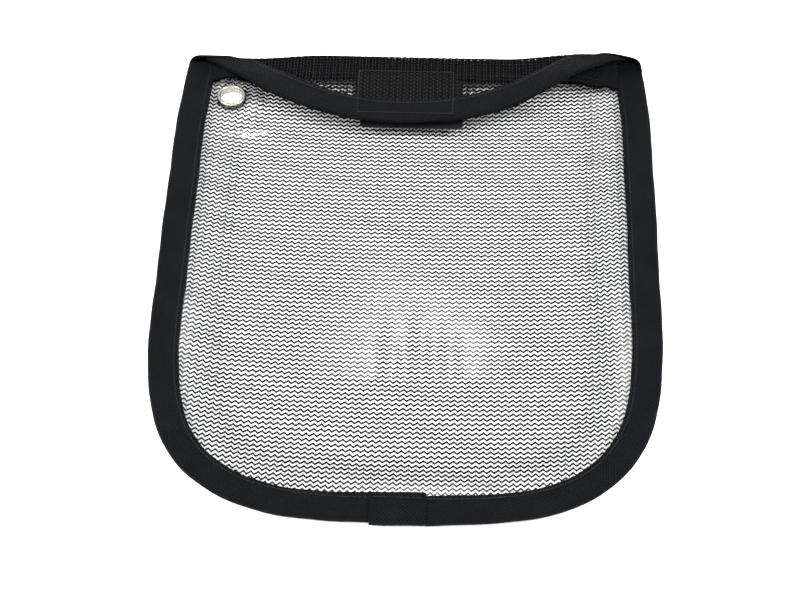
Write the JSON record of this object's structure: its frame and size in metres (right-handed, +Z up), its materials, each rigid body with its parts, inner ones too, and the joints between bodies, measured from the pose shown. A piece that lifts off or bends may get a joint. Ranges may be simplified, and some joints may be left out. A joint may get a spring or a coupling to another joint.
{
  "type": "mesh lure bag",
  "caption": "Flat mesh pouch for a trolling lure: knit mesh back, clear front, taped round edge, fold-over flap with hook-and-loop closure and a hanging eyelet.",
  "frame": {"origin": "under the middle of the bag's bounding box, on the surface that it lies on", "axes": "+X to the bag's right seen from the front, +Y along the bag to its folded top edge, +Z up through the clear front"},
  "size_m": [0.26, 0.3058, 0.0169],
  "materials": {
    "knit_mesh": "open zigzag warp-knit polyester mesh",
    "clear_film": "clear soft vinyl film, slightly wavy gloss",
    "binding_tape": "matt ribbed woven tape",
    "hook_tape": "hook side of hook-and-loop tape",
    "loop_tape": "loop side of hook-and-loop tape, napped",
    "nickel_plate": "nickel plated, bright satin",
    "thread": "bonded polyester sewing thread"
  },
  "bodies": {
    "pouch": {"back_mesh_panel": "knit_mesh", "front_clear_panel": "clear_film", "perimeter_binding": "binding_tape", "mouth_binding": "binding_tape", "hook_patch": "hook_tape", "eyelet": "nickel_plate", "eyelet_washer": "nickel_plate", "perimeter_needle_thread": "thread", "perimeter_bobbin_thread": "thread", "mouth_needle_thread": "thread", "mouth_bobbin_thread": "thread", "hook_patch_thread": "thread"},
    "flap": {"flap_mesh_panel": "knit_mesh", "flap_binding": "binding_tape", "loop_patch": "loop_tape", "flap_needle_thread": "thread", "flap_bobbin_thread": "thread", "loop_patch_thread": "thread"}
  },
  "joints": [
    {"name": "flap_hinge", "type": "hinge", "parent": "pouch", "child": "flap", "pos_m": [0, 0.15315, 0.00865], "axis": [-1, 0, 0], "range_deg": [0, 175]}
  ]
}
